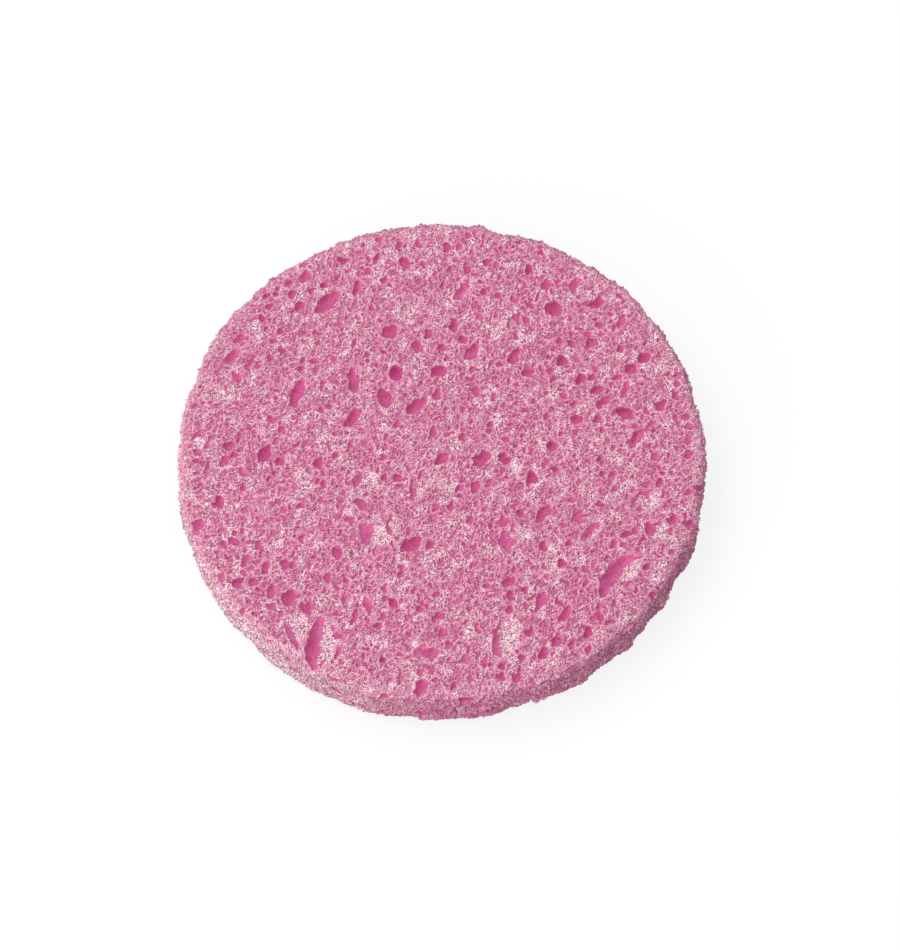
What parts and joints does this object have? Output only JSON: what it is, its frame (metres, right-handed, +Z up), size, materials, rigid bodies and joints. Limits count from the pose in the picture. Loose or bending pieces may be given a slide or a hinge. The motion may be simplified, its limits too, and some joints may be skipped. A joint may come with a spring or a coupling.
{
  "type": "makeup remover sponge",
  "caption": "Thin round pad of pink open-cell cellulose foam, pitted all over, for wiping off make-up or cleansing the face.",
  "frame": {"origin": "middle of the flat underside", "axes": "+Z up through the thickness, -Y towards the side of the edge that the picture shows, +X to the right in the picture"},
  "size_m": [0.075, 0.075, 0.0085],
  "materials": {
    "cellulose_foam": "matt open-cell foam, pale pink fibres with deeper pink pores"
  },
  "bodies": {
    "root": {"sponge_disc": "cellulose_foam"}
  },
  "joints": []
}
